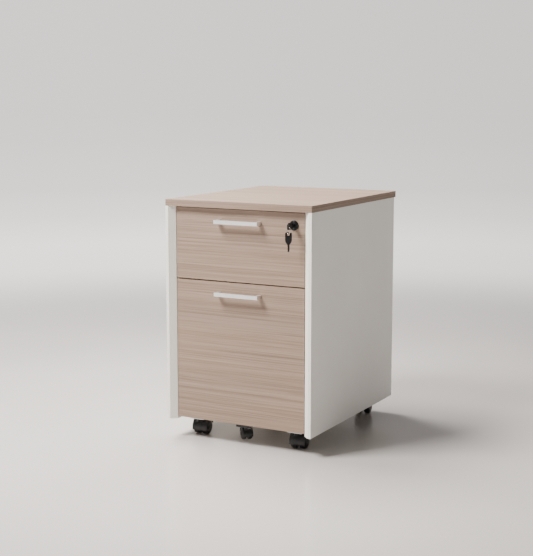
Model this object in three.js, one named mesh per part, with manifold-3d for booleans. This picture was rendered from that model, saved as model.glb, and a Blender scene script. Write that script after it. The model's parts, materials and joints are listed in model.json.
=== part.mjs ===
// A two-drawer rolling pedestal cabinet: white side panels with bevelled front edges, a wood-grain
// top and drawer fronts, ball-bearing drawer runners, a key lock with a vertical lock bar, and
// five twin-wheel casters, the fifth of which is fixed to the file drawer and stops it tipping.
//
// Millimetres. X runs to the right across the front, Y from the front to the back, Z up.
// Everything is drawn with y = 0 at the foremost plane of the side panels and z = 0 on the floor;
// the last group moves it so that the origin is at the bottom centre of the whole object.

import * as THREE from "three";
import { mergeVertices } from "three/addons/utils/BufferGeometryUtils.js";
import Module from "manifold-3d";

const wasm = await Module();
wasm.setup();

// ---------------------------------------------------------------- driving sizes

// Carcass.
const WIDTH = 400;
const TOP_DEPTH = 500;
const HEIGHT = 600;
const TOP_THICKNESS = 16;
const TOP_REAR_OVERHANG = 10;
const SIDE_THICKNESS = 22;
const SIDE_FRONT_FLAT = 7.5; // narrow flat left at the front of each side panel
const BOARD = 16; // bottom, back and drawer fronts
const GROUND_CLEARANCE = 48; // floor to the underside of the carcass
const SEAT = 0.2; // gap left where two fixed pieces meet

// Drawer fronts.
const FRONT_RECESS = 13; // drawer fronts sit this far behind the side panels' front
const FRONT_SIDE_GAP = 2;
const FRONT_GAP = 3; // above, between and, with the drop below, under the fronts
const FRONT_BOTTOM_RISE = 6; // lower front's edge above the side panels' lower edge
const UPPER_FRONT_HEIGHT = 174.5;
const BOTTOM_PANEL_SETBACK = 6; // behind the drawer fronts, room for the caster bracket

// Drawer boxes.
const RUNNER_THICKNESS = 13;
const BOX_SIDE = 12;
const BOX_BASE = 5;
const BASE_RISE = 10; // groove above the box side's lower edge
const GROOVE_DEPTH = 5;
const GROOVE_PLAY = 0.3;
const BOX_BACK_GAP = 15; // behind the box to the back panel
const UPPER_BOX_DROP = 52; // upper box's rim below its front's upper edge
const LOWER_BOX_DROP = 53;
const UPPER_BOX_RISE = 10.5; // box above its front's lower edge
const LOWER_BOX_CLEARANCE = 12; // box above the bottom panel

// Runners: cabinet, middle and drawer members, nested.
const RUNNER_STEEL = 1.2;
const CABINET_MEMBER = { height: 45, from: 0, to: 9 };
const MIDDLE_MEMBER = { height: 36, from: 4.5, to: RUNNER_THICKNESS - 2 };
const DRAWER_MEMBER = { height: 28, from: RUNNER_THICKNESS - 6.5, to: RUNNER_THICKNESS };
const RUNNER_SETBACK = 19; // behind the drawer fronts, room for the lock bar
const RUNNER_BACK_GAP = 6;
const UPPER_RUNNER_RISE = 56; // runner's centre above its box's lower edge
const LOWER_RUNNER_RISE = 112;

// Handles.
const HANDLE = { length: 120, reach: 20, height: 9, bar: 6, leg: 8, corner: 1.2 };
const UPPER_HANDLE_DROP = 30; // handle's centre below its front's upper edge
const LOWER_HANDLE_DROP = 28.5;

// File rails of the lower drawer.
const FILE_RAIL = { thickness: 2.5, depth: 14, proud: 4, front: 8, span: 330 };

// Lock: barrel, plug, eccentric, key, ring and spare key.
const LOCK_FROM_SIDE = 52; // lock's axis from the cabinet's right face
const LOCK_DROP = 29.5; // lock's axis below the upper front's top edge
const BARREL = { flange: 12, flangeDepth: 3, radius: 9.3, bore: 6.6, rear: 1 };
const BARREL_PLAY = 0.2;
const PLUG_RADIUS = 6.3;
const PLUG_RECESS = 0.6;
const ECCENTRIC = { radius: 8.4, thickness: 2.5, throw: 6, pin: 2, pinLength: 5.2 };
const KEY = { bow: 29, bowWidth: 16, bowThickness: 3, neck: 2, hole: 3, holeInset: 5 };
const BLADE = { length: 15, width: 5.2, thickness: 2, teeth: 4, toothDepth: 1.1 };
const SLOT_PLAY = 0.3;
const RING = { radius: 7.5, wire: 0.7, slack: 0.7, yaw: -30 };
const SPARE_YAW = -60;

// Lock bar.
const BAR = { thickness: 3.2, width: 10, wallGap: 0.6, setback: 5, below: 20, arm: 3 };
const YOKE = { play: 1, wall: 3.4 };
const HOOK = { height: 6, reach: 1.8, thickness: 2, clear: 1.5, gap: 1.5 };
const GUIDE = { height: 12, wall: 1.5, play: 0.4, drop: 150 };

// Casters: radius and overall width of the wheels, sizes of the housing, height off the floor.
const CASTER_SEGMENTS = 24;
const CORNER_CASTER = {
  wheel: 20,
  width: 42,
  web: 7,
  trail: 14,
  hoodPlay: 1.2,
  hoodWall: 1.8,
  plate: 42,
  plateThickness: 2.5,
  stem: 8,
  axle: 3,
  lift: 0,
};
const FIFTH_CASTER = {
  ...CORNER_CASTER,
  wheel: 15,
  width: 28,
  web: 5,
  trail: 11,
  hoodPlay: 1,
  hoodWall: 1.6,
  plate: 34,
  plateThickness: 2.2,
  stem: 7,
  lift: 5,
};
const WHEEL_SIDE_PLAY = 0.8;
const WHEEL_BORE_PLAY = 0.3;
const SWIVEL_PLAY = 0.3;
const FRONT_CASTER_INSET = 57; // stems behind the side panels' front
const REAR_CASTER_INSET = 50; // stems before the side panels' rear
const SIDE_CASTER_INSET = 62; // stems from the cabinet's outer faces
const FIFTH_CASTER_INSET = 53; // clear of the file drawer's front
const FRONT_SWIVEL = 8; // degrees that each caster has swivelled to
const REAR_SWIVEL = 8;
const FIFTH_SWIVEL = 45;
const BRACKET = { width: 38, thickness: 2.5, gap: 2.5, upstand: 20, beyond: 20 };

// ---------------------------------------------------------------- places worked out from them

const sideX = WIDTH / 2 - SIDE_THICKNESS; // inner faces of the side panels
const sideDepth = TOP_DEPTH - TOP_REAR_OVERHANG;
const topUnder = HEIGHT - TOP_THICKNESS;
const frontY = FRONT_RECESS;
const frontBackY = FRONT_RECESS + BOARD;
const backPanelY = sideDepth - BOARD;
const floorPanelTop = GROUND_CLEARANCE + BOARD;

const frontX = sideX - FRONT_SIDE_GAP;
const upperFrontTop = topUnder - FRONT_GAP;
const upperFrontBottom = upperFrontTop - UPPER_FRONT_HEIGHT;
const lowerFrontTop = upperFrontBottom - FRONT_GAP;
const lowerFrontBottom = GROUND_CLEARANCE + FRONT_BOTTOM_RISE;

const boxX = sideX - RUNNER_THICKNESS; // outer faces of the drawer boxes
const boxBackY = backPanelY - BOX_BACK_GAP;
const upperBox = {
  bottom: upperFrontBottom + UPPER_BOX_RISE,
  top: upperFrontTop - UPPER_BOX_DROP,
};
const lowerBox = {
  bottom: floorPanelTop + LOWER_BOX_CLEARANCE,
  top: lowerFrontTop - LOWER_BOX_DROP,
};
const upperRunnerZ = upperBox.bottom + UPPER_RUNNER_RISE;
const lowerRunnerZ = lowerBox.bottom + LOWER_RUNNER_RISE;
const runnerFrontY = frontBackY + RUNNER_SETBACK;
const runnerBackY = backPanelY - RUNNER_BACK_GAP;

const lockX = WIDTH / 2 - LOCK_FROM_SIDE;
const lockZ = upperFrontTop - LOCK_DROP;
const lockFaceY = frontY - BARREL.flangeDepth;
const barrelRearY = frontBackY + BARREL.rear;
const keyShoulderY = lockFaceY + PLUG_RECESS - SEAT;
const keyHoleY = keyShoulderY - KEY.neck - KEY.bow + KEY.holeInset;

const barX = sideX - BAR.wallGap - BAR.thickness; // inner face of the lock bar
const barY = frontBackY + BAR.setback;

const casterX = WIDTH / 2 - SIDE_CASTER_INSET;
const rearCasterY = sideDepth - REAR_CASTER_INSET;
const bracketTop = GROUND_CLEARANCE - BRACKET.gap;
const bracketUnder = bracketTop - BRACKET.thickness;

// ---------------------------------------------------------------- materials

const finish = (color, roughness, metalness) =>
  new THREE.MeshStandardMaterial({ color, roughness, metalness });
const OAK = finish(0xb9a899, 0.55, 0);
const WHITE = finish(0xe6e3d9, 0.5, 0);
const BOX_GREY = finish(0xd9d8d3, 0.55, 0);
const SATIN = finish(0xd6d8da, 0.35, 1);
const ZINC = finish(0xb8bcc0, 0.4, 1);
const BLACK = finish(0x161718, 0.5, 0);
const BLACK_METAL = finish(0x101112, 0.35, 0.4);
const NICKEL = finish(0xc9c6c0, 0.25, 1);

// ---------------------------------------------------------------- helpers

const degrees = THREE.MathUtils.degToRad;

/** A geometry as a manifold-3d solid. */
function solid(geometry) {
  const bare = new THREE.BufferGeometry();
  bare.setAttribute("position", geometry.getAttribute("position"));
  if (geometry.index) bare.setIndex(geometry.index);
  const merged = mergeVertices(bare, 1e-3);
  return new wasm.Manifold(
    new wasm.Mesh({
      numProp: 3,
      vertProperties: merged.attributes.position.array,
      triVerts: new Uint32Array(merged.index.array),
    }),
  );
}

/** A manifold-3d solid as a geometry. */
function geometryOf(manifold) {
  const mesh = manifold.getMesh();
  return new THREE.BufferGeometry()
    .setAttribute("position", new THREE.BufferAttribute(mesh.vertProperties, 3))
    .setIndex(new THREE.BufferAttribute(mesh.triVerts, 1));
}

const join = (first, ...rest) =>
  geometryOf(rest.reduce((all, next) => all.add(solid(next)), solid(first)));
const cut = (first, ...rest) =>
  geometryOf(rest.reduce((all, next) => all.subtract(solid(next)), solid(first)));

/** A block between two corners, given as pairs along each axis. */
function block([x0, x1], [y0, y1], [z0, z1]) {
  return new THREE.BoxGeometry(x1 - x0, y1 - y0, z1 - z0).translate(
    (x0 + x1) / 2,
    (y0 + y1) / 2,
    (z0 + z1) / 2,
  );
}

/** An outline, as a list of [u, v] points. */
const outline = (points) => new THREE.Shape(points.map(([u, v]) => new THREE.Vector2(u, v)));

/** A plan outline (x, y) raised from z0 to z1. */
const raised = (shape, z0, z1, curveSegments = 4) =>
  new THREE.ExtrudeGeometry(shape, {
    depth: z1 - z0,
    bevelEnabled: false,
    curveSegments,
  }).translate(0, 0, z0);

/** A cross-section outline (x, z) run along Y from y0 to y1. */
const alongY = (shape, y0, y1, curveSegments = 4) =>
  raised(shape, 0, y1 - y0, curveSegments).rotateX(Math.PI / 2).translate(0, y1, 0);

/** A side outline (y, z) run along X from x0 to x1. */
const alongX = (shape, x0, x1, curveSegments = 6) =>
  raised(shape, 0, x1 - x0, curveSegments)
    .rotateX(Math.PI / 2)
    .rotateZ(Math.PI / 2)
    .translate(x0, 0, 0);

/** A cylinder along Y from y0 to y1, about (x, z). */
const rodY = (radius, y0, y1, x, z, segments = 24) =>
  new THREE.CylinderGeometry(radius, radius, y1 - y0, segments).translate(x, (y0 + y1) / 2, z);

/** A cylinder along X from x0 to x1, about (y, z). */
const rodX = (radius, x0, x1, y, z, segments = 24) =>
  new THREE.CylinderGeometry(radius, radius, x1 - x0, segments)
    .rotateZ(Math.PI / 2)
    .translate((x0 + x1) / 2, y, z);

/** A cylinder along Z from z0 to z1, about (x, y). */
const rodZ = (radius, z0, z1, x, y, segments = 20) =>
  new THREE.CylinderGeometry(radius, radius, z1 - z0, segments)
    .rotateX(Math.PI / 2)
    .translate(x, y, (z0 + z1) / 2);

/** A named mesh added to a group. */
function piece(group, name, geometry, material) {
  const mesh = new THREE.Mesh(geometry, material);
  mesh.name = name;
  group.add(mesh);
  return mesh;
}

const cabinet = new THREE.Group();
const SIDES = [
  ["left", -1],
  ["right", 1],
];

// ---------------------------------------------------------------- carcass

piece(
  cabinet,
  "top_panel",
  block([-WIDTH / 2, WIDTH / 2], [0, TOP_DEPTH], [topUnder, HEIGHT]),
  OAK,
);

for (const [side, s] of SIDES) {
  // The inner front corner is bevelled back to the plane of the drawer fronts.
  const plan = outline([
    [(s * WIDTH) / 2, 0],
    [(s * WIDTH) / 2, sideDepth],
    [s * sideX, sideDepth],
    [s * sideX, FRONT_RECESS],
    [s * (WIDTH / 2 - SIDE_FRONT_FLAT), 0],
  ]);
  piece(cabinet, `${side}_side_panel`, raised(plan, GROUND_CLEARANCE, topUnder - SEAT), WHITE);
}

const innerSpan = [-sideX + SEAT, sideX - SEAT];
piece(
  cabinet,
  "bottom_panel",
  block(
    innerSpan,
    [frontBackY + BOTTOM_PANEL_SETBACK, backPanelY - SEAT],
    [GROUND_CLEARANCE, floorPanelTop],
  ),
  WHITE,
);
piece(
  cabinet,
  "back_panel",
  block(innerSpan, [backPanelY, sideDepth], [GROUND_CLEARANCE, topUnder - SEAT]),
  WHITE,
);

// ---------------------------------------------------------------- runners

/** Channel section of a runner member; its web is at the cabinet's side, or at the drawer's. */
function channel(member, s, centreZ, webAtDrawer) {
  const h = member.height / 2;
  const near = s * (sideX - SEAT - member.from);
  const far = s * (sideX - member.to + SEAT);
  const [web, lip] = webAtDrawer ? [far, near] : [near, far];
  const inward = Math.sign(lip - web) * RUNNER_STEEL;
  return outline([
    [web, centreZ - h],
    [lip, centreZ - h],
    [lip, centreZ - h + RUNNER_STEEL],
    [web + inward, centreZ - h + RUNNER_STEEL],
    [web + inward, centreZ + h - RUNNER_STEEL],
    [lip, centreZ + h - RUNNER_STEEL],
    [lip, centreZ + h],
    [web, centreZ + h],
  ]);
}

/** The bent tab at the front of a right-hand drawer member, which the lock bar stops. */
function lockHook(centreZ) {
  const web = [boxX + SEAT, boxX + SEAT + RUNNER_STEEL];
  const hookY = barY + BAR.width + HOOK.gap;
  const heightRange = [centreZ - HOOK.height / 2, centreZ + HOOK.height / 2];
  const arm = block(web, [hookY, runnerFrontY + 1], heightRange);
  const tab = block([web[0], barX + HOOK.reach], [hookY, hookY + HOOK.thickness], heightRange);
  return [arm, tab];
}

for (const [level, centreZ] of [
  ["upper", upperRunnerZ],
  ["lower", lowerRunnerZ],
]) {
  for (const [side, s] of SIDES) {
    const run = (member, webAtDrawer) =>
      alongY(channel(member, s, centreZ, webAtDrawer), runnerFrontY, runnerBackY);
    piece(cabinet, `${level}_${side}_cabinet_runner`, run(CABINET_MEMBER, false), ZINC);
    piece(cabinet, `${level}_${side}_middle_runner`, run(MIDDLE_MEMBER, false), ZINC);
    const drawerMember = run(DRAWER_MEMBER, true);
    piece(
      cabinet,
      `${level}_${side}_drawer_runner`,
      s > 0 ? join(drawerMember, ...lockHook(centreZ)) : drawerMember,
      ZINC,
    );
  }
}

// ---------------------------------------------------------------- drawers

/** The five boards of a drawer: front, grooved sides, back and a base that slides in the grooves. */
function drawer(level, box, frontGeometry) {
  piece(cabinet, `${level}_drawer_front`, frontGeometry, OAK);
  const y0 = frontBackY + SEAT;
  const grooveBottom = box.bottom + BASE_RISE;
  const grooveTop = grooveBottom + BOX_BASE + 2 * GROOVE_PLAY;
  for (const [side, s] of SIDES) {
    const outer = s * boxX;
    const inner = s * (boxX - BOX_SIDE);
    const groove = s * (boxX - BOX_SIDE + GROOVE_DEPTH);
    const section = outline([
      [outer, box.bottom],
      [outer, box.top],
      [inner, box.top],
      [inner, grooveTop],
      [groove, grooveTop],
      [groove, grooveBottom],
      [inner, grooveBottom],
      [inner, box.bottom],
    ]);
    piece(cabinet, `${level}_drawer_${side}_side`, alongY(section, y0, boxBackY), BOX_GREY);
  }
  const backX = boxX - BOX_SIDE - SEAT;
  piece(
    cabinet,
    `${level}_drawer_back`,
    block([-backX, backX], [boxBackY - BOX_SIDE, boxBackY], [grooveTop + SEAT, box.top]),
    BOX_GREY,
  );
  const baseX = boxX - BOX_SIDE + GROOVE_DEPTH - GROOVE_PLAY;
  piece(
    cabinet,
    `${level}_drawer_base`,
    block([-baseX, baseX], [y0, boxBackY], [grooveBottom + GROOVE_PLAY, grooveTop - GROOVE_PLAY]),
    BOX_GREY,
  );
}

/** A square-section bow handle, a bar with a leg at each end that stands on the drawer front. */
function handle(name, centreZ) {
  const x = HANDLE.length / 2;
  const y0 = frontY - HANDLE.reach;
  const y1 = frontY - SEAT;
  const c = HANDLE.corner;
  const bow = new THREE.Shape();
  bow.moveTo(-x, y1);
  bow.lineTo(-x, y0 + c);
  bow.absarc(-x + c, y0 + c, c, Math.PI, 1.5 * Math.PI, false);
  bow.absarc(x - c, y0 + c, c, -0.5 * Math.PI, 0, false);
  bow.lineTo(x, y1);
  bow.lineTo(x - HANDLE.leg, y1);
  bow.lineTo(x - HANDLE.leg, y0 + HANDLE.bar);
  bow.lineTo(-x + HANDLE.leg, y0 + HANDLE.bar);
  bow.lineTo(-x + HANDLE.leg, y1);
  const h = HANDLE.height / 2;
  piece(cabinet, name, raised(bow, centreZ - h, centreZ + h, 3), SATIN);
}

const frontBlock = (z0, z1) => block([-frontX, frontX], [frontY, frontBackY], [z0, z1]);
drawer(
  "upper",
  upperBox,
  cut(
    frontBlock(upperFrontBottom, upperFrontTop),
    rodY(BARREL.radius + BARREL_PLAY, frontY - 1, frontBackY + 1, lockX, lockZ),
  ),
);
drawer("lower", lowerBox, frontBlock(lowerFrontBottom, lowerFrontTop));
handle("upper_handle", upperFrontTop - UPPER_HANDLE_DROP);
handle("lower_handle", lowerFrontTop - LOWER_HANDLE_DROP);

// Two steel strips across the file drawer, with ends that lie on its sides, carry hanging files.
const frontFileRailY = frontBackY + FILE_RAIL.front;
for (const [place, y] of [
  ["front", frontFileRailY],
  ["rear", Math.min(frontFileRailY + FILE_RAIL.span, boxBackY - BOX_SIDE - FILE_RAIL.front)],
]) {
  const x = boxX - BOX_SIDE - SEAT;
  const top = lowerBox.top + FILE_RAIL.proud;
  const rim = lowerBox.top + SEAT;
  const section = outline([
    [-boxX, rim],
    [-x, rim],
    [-x, top - FILE_RAIL.depth],
    [x, top - FILE_RAIL.depth],
    [x, rim],
    [boxX, rim],
    [boxX, top],
    [-boxX, top],
  ]);
  piece(cabinet, `${place}_file_rail`, alongY(section, y, y + FILE_RAIL.thickness), ZINC);
}

// ---------------------------------------------------------------- lock

// Barrel: a flange on the drawer front and a sleeve through it, bored for the plug.
const barrelProfile = [
  [BARREL.bore, lockFaceY],
  [BARREL.flange - 1, lockFaceY],
  [BARREL.flange, lockFaceY + 1],
  [BARREL.flange, frontY - SEAT],
  [BARREL.radius, frontY - SEAT],
  [BARREL.radius, barrelRearY],
  [BARREL.bore, barrelRearY],
  [BARREL.bore, lockFaceY],
].map(([r, y]) => new THREE.Vector2(r, y));
piece(
  cabinet,
  "lock_barrel",
  new THREE.LatheGeometry(barrelProfile, 24).translate(lockX, 0, lockZ),
  BLACK_METAL,
);

// Plug, which turns in the barrel, with a slot for the key's blade.
const plugY = lockFaceY + PLUG_RECESS;
const slotY = plugY + BLADE.length + SLOT_PLAY;
piece(
  cabinet,
  "lock_plug",
  cut(
    rodY(PLUG_RADIUS, plugY, barrelRearY, lockX, lockZ, 20),
    block(
      [lockX - BLADE.thickness / 2 - SLOT_PLAY, lockX + BLADE.thickness / 2 + SLOT_PLAY],
      [plugY - 1, slotY],
      [lockZ - BLADE.width / 2 - SLOT_PLAY, lockZ + BLADE.width / 2 + SLOT_PLAY],
    ),
  ),
  BLACK_METAL,
);

// Eccentric on the plug's rear end. Its pin lifts the lock bar's yoke through a quarter turn,
// from 45 degrees below the axis to 45 degrees above it, on the side away from the bar.
const pinAngle = degrees(225);
const pinX = lockX + ECCENTRIC.throw * Math.cos(pinAngle);
const pinZ = lockZ + ECCENTRIC.throw * Math.sin(pinAngle);
const discY = barrelRearY + SWIVEL_PLAY;
const pinY = discY + ECCENTRIC.thickness;
piece(
  cabinet,
  "lock_eccentric",
  join(
    rodY(ECCENTRIC.radius, discY, pinY, lockX, lockZ, 20),
    rodY(ECCENTRIC.pin, pinY - 1, pinY + ECCENTRIC.pinLength, pinX, pinZ, 12),
  ),
  ZINC,
);

/**
 * A key lying in the plane of Y and Z, its shoulder at the origin, blade towards +Y and bow
 * towards -Y, with a hole across the bow for the ring.
 */
function keyGeometry() {
  const half = KEY.bowWidth / 2;
  const end = -KEY.neck - KEY.bow;
  const corner = half * 0.55;
  const bow = new THREE.Shape();
  bow.moveTo(-SEAT, -BLADE.width / 2);
  bow.lineTo(-KEY.neck, -BLADE.width / 2);
  bow.quadraticCurveTo(-KEY.neck - KEY.bow * 0.18, -half, -KEY.neck - KEY.bow * 0.42, -half);
  bow.lineTo(end + corner, -half);
  bow.quadraticCurveTo(end, -half, end, -half + corner);
  bow.lineTo(end, half - corner);
  bow.quadraticCurveTo(end, half, end + corner, half);
  bow.lineTo(-KEY.neck - KEY.bow * 0.42, half);
  bow.quadraticCurveTo(-KEY.neck - KEY.bow * 0.18, half, -KEY.neck, BLADE.width / 2);
  bow.lineTo(-SEAT, BLADE.width / 2);
  // The cuts run along the blade's lower edge, and the tip is pointed.
  const blade = [[-1, BLADE.width / 2]];
  blade.push([BLADE.length - 2, BLADE.width / 2], [BLADE.length, 0]);
  blade.push([BLADE.length - 1.5, -BLADE.width / 2]);
  const pitch = (BLADE.length - 5) / BLADE.teeth;
  for (let i = BLADE.teeth - 1; i >= 0; i--) {
    const y = 2.5 + i * pitch;
    blade.push([y + pitch / 2, -BLADE.width / 2 + BLADE.toothDepth], [y, -BLADE.width / 2]);
  }
  blade.push([-1, -BLADE.width / 2]);
  const head = cut(
    alongX(bow, -KEY.bowThickness / 2, KEY.bowThickness / 2, 5),
    rodX(KEY.hole, -KEY.bowThickness, KEY.bowThickness, end + KEY.holeInset, 0, 20),
  );
  return join(head, alongX(outline(blade), -BLADE.thickness / 2, BLADE.thickness / 2));
}

piece(cabinet, "key", keyGeometry(), BLACK).position.set(lockX, keyShoulderY, lockZ);

// The ring hangs in the key's hole, turned so that the spare key on it faces the user.
const hang = KEY.hole - RING.wire - RING.slack; // wire's centre from the middle of a key's hole
const ringZ = lockZ - hang - RING.radius;
const ring = new THREE.Group();
ring.position.set(lockX, keyHoleY, ringZ);
ring.rotation.z = degrees(RING.yaw);
piece(
  ring,
  "key_ring",
  new THREE.TorusGeometry(RING.radius, RING.wire, 6, 20).rotateX(Math.PI / 2),
  NICKEL,
);
cabinet.add(ring);

const spare = piece(
  cabinet,
  "spare_key",
  keyGeometry()
    .translate(0, KEY.neck + KEY.bow - KEY.holeInset, 0)
    .rotateX(-Math.PI / 2),
  BLACK,
);
spare.position.set(lockX, keyHoleY, ringZ - RING.radius - hang);
spare.rotation.z = degrees(SPARE_YAW);

// Lock bar: a notched strip beside the drawers with a slotted yoke around the eccentric's pin.
const slotHalf = ECCENTRIC.pin + YOKE.play;
const yokeZ = [pinZ - slotHalf - YOKE.wall, pinZ + slotHalf + YOKE.wall];
const armYs = [barY, barY + BAR.arm];
// The slot is as long as the pin's sideways travel through the quarter turn.
const pinTravel = ECCENTRIC.throw * (1 - Math.SQRT1_2);
const slotX = [pinX - slotHalf - pinTravel, pinX + slotHalf];
const strip = block(
  [barX, barX + BAR.thickness],
  [barY, barY + BAR.width],
  [lowerRunnerZ - BAR.below, yokeZ[1]],
);
const arm = block([slotX[0] - YOKE.wall, barX + 1], armYs, yokeZ);
const slot = block(slotX, [barY - 1, barY + BAR.arm + 1], [pinZ - slotHalf, pinZ + slotHalf]);
const notches = [upperRunnerZ, lowerRunnerZ].map((z) =>
  block(
    [barX - 1, barX + HOOK.reach + 0.5],
    [barY - 1, barY + BAR.width + 1],
    [z - HOOK.height / 2 - HOOK.clear, z + HOOK.height / 2 + HOOK.clear],
  ),
);
piece(cabinet, "lock_bar", cut(join(strip, arm), slot, ...notches), ZINC);

// A clip on the side panel holds the bar against it.
const guideZ = upperRunnerZ - GUIDE.drop;
const channelY = [barY - GUIDE.play, barY + BAR.width + GUIDE.play];
const clipZ = [guideZ - GUIDE.height / 2, guideZ + GUIDE.height / 2];
piece(
  cabinet,
  "lock_bar_guide",
  cut(
    block(
      [barX - GUIDE.play - GUIDE.wall, sideX - SEAT],
      [channelY[0] - GUIDE.wall, channelY[1] + GUIDE.wall],
      clipZ,
    ),
    block([barX - GUIDE.play, sideX + 1], channelY, [clipZ[0] - 1, clipZ[1] + 1]),
  ),
  BLACK,
);

// ---------------------------------------------------------------- casters

/** A domed wheel about the X axis, from its flat inner face at x = 0 outwards to x = width. */
function wheelGeometry(radius, width, bore) {
  const profile = [
    [bore, 0],
    [radius - 0.8, 0],
    [radius, 0.8],
    [radius, width * 0.6],
    [radius * 0.93, width * 0.82],
    [radius * 0.7, width * 0.96],
    [bore, width],
    [bore, 0],
  ].map(([r, t]) => new THREE.Vector2(r, t));
  return new THREE.LatheGeometry(profile, CASTER_SEGMENTS)
    .rotateY(Math.PI / CASTER_SEGMENTS)
    .rotateZ(-Math.PI / 2);
}

/**
 * A twin-wheel plate caster. Its stem is at the origin of its group, its wheels trail behind it
 * along the group's +Y, and the wheels' lowest flats are on the floor or just above it.
 */
function caster(name, size, x, y, mountZ, swivel) {
  const plateUnder = mountZ - SEAT - size.plateThickness;
  const half = size.plate / 2;
  piece(
    cabinet,
    `${name}_caster_plate`,
    block([x - half, x + half], [y - half, y + half], [plateUnder, mountZ - SEAT]),
    ZINC,
  );

  const turned = new THREE.Group();
  turned.position.set(x, y, 0);
  turned.rotation.z = degrees(swivel);
  cabinet.add(turned);

  const axleZ = size.lift + size.wheel * Math.cos(Math.PI / CASTER_SEGMENTS);
  const wellRadius = size.wheel + size.hoodPlay;
  const hoodRadius = wellRadius + size.hoodWall;
  const hoodHalf = size.width / 2 - 1;
  const webHalf = size.web / 2;
  // The hood covers the wheels down to a line that rises towards the trailing side.
  const hood = new THREE.Shape();
  hood.absarc(size.trail, axleZ, hoodRadius, degrees(12), degrees(196), false);
  hood.lineTo(size.trail, axleZ - 2 * size.axle);
  const covered = join(
    alongX(hood, -hoodHalf, hoodHalf, 14),
    rodZ(size.stem, axleZ + wellRadius * 0.5, plateUnder - SWIVEL_PLAY, 0, 0),
  );
  const housing = join(
    cut(
      covered,
      rodX(wellRadius, webHalf, size.width, size.trail, axleZ),
      rodX(wellRadius, -size.width, -webHalf, size.trail, axleZ),
    ),
    rodX(2 * size.axle, -webHalf, webHalf, size.trail, axleZ, 16),
    rodX(size.axle, -hoodHalf, hoodHalf, size.trail, axleZ, 12),
  );
  piece(turned, `${name}_caster_housing`, housing, BLACK);

  const wheelStart = webHalf + WHEEL_SIDE_PLAY;
  const wheel = wheelGeometry(
    size.wheel,
    size.width / 2 - wheelStart,
    size.axle + WHEEL_BORE_PLAY,
  );
  for (const [side, s] of SIDES) {
    const mesh = piece(turned, `${name}_caster_${side}_wheel`, wheel, BLACK);
    mesh.position.set(s * wheelStart, size.trail, axleZ);
    if (s < 0) mesh.rotation.y = Math.PI;
  }
}

for (const [side, s] of SIDES) {
  const at = (place, y, swivel) =>
    caster(`${place}_${side}`, CORNER_CASTER, s * casterX, y, GROUND_CLEARANCE, swivel);
  at("front", FRONT_CASTER_INSET, FRONT_SWIVEL);
  at("rear", rearCasterY, REAR_SWIVEL);
}
caster("fifth", FIFTH_CASTER, 0, FIFTH_CASTER_INSET, bracketUnder, FIFTH_SWIVEL);

// An angle on the back of the file drawer's front reaches under the carcass to the fifth caster.
const bracketY = frontBackY + SEAT;
const bracketSide = outline([
  [bracketY, bracketUnder],
  [FIFTH_CASTER_INSET + BRACKET.beyond, bracketUnder],
  [FIFTH_CASTER_INSET + BRACKET.beyond, bracketTop],
  [bracketY + BRACKET.thickness, bracketTop],
  [bracketY + BRACKET.thickness, lowerFrontBottom + BRACKET.upstand],
  [bracketY, lowerFrontBottom + BRACKET.upstand],
]);
piece(
  cabinet,
  "fifth_caster_bracket",
  alongX(bracketSide, -BRACKET.width / 2, BRACKET.width / 2),
  BLACK,
);

// ---------------------------------------------------------------- origin, midway along Y

const extent = new THREE.Box3().setFromObject(cabinet, true);
cabinet.position.y = -(extent.min.y + extent.max.y) / 2;
const pedestal = new THREE.Group();
pedestal.add(cabinet);

export default pedestal;
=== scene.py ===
"""A rolling pedestal cabinet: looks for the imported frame.

The boards, handles and rails are the CAD nodes with softened edges and their own materials. The
lock, keys, casters, rows of balls and small fastenings are built here and ride on the CAD bodies.
Lengths are in metres, in the frame of the CAD model: +X right, +Y back, +Z up.
"""

import json
import math

import bmesh
import bpy
from mathutils import Euler, Matrix, Vector

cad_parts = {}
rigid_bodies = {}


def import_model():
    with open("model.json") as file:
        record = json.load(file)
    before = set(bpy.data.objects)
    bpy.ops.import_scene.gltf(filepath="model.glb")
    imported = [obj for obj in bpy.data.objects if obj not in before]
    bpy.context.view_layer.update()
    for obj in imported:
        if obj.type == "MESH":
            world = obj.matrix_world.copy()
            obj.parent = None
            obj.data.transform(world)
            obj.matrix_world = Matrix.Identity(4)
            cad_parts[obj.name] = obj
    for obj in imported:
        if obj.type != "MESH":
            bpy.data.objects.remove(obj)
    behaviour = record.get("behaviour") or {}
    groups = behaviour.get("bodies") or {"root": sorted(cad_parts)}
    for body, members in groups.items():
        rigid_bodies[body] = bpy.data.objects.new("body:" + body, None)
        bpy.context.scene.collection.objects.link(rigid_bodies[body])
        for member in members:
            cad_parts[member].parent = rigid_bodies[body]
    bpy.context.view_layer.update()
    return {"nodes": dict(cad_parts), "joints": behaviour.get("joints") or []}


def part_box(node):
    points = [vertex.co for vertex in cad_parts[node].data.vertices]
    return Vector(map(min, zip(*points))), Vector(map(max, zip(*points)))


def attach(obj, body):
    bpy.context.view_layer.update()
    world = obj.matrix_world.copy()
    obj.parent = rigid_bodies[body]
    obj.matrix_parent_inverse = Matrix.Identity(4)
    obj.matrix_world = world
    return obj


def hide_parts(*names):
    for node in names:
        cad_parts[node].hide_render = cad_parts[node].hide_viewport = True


bpy.ops.object.select_all(action="SELECT")
bpy.ops.object.delete()
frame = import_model()
NODES = frame["nodes"]
JOINTS = {joint["name"]: joint for joint in frame["joints"]}

CASTERS = ("front_left", "front_right", "rear_left", "rear_right", "fifth")
LEVELS = ("upper", "lower")
HANDS = ("left", "right")
BOARDS = ("left_side", "right_side", "back", "base")
MEMBERS = ("cabinet", "middle", "drawer")
MERGE = 1e-7  # points closer than this are one point


# ------------------------------------------------------------------ materials

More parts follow.
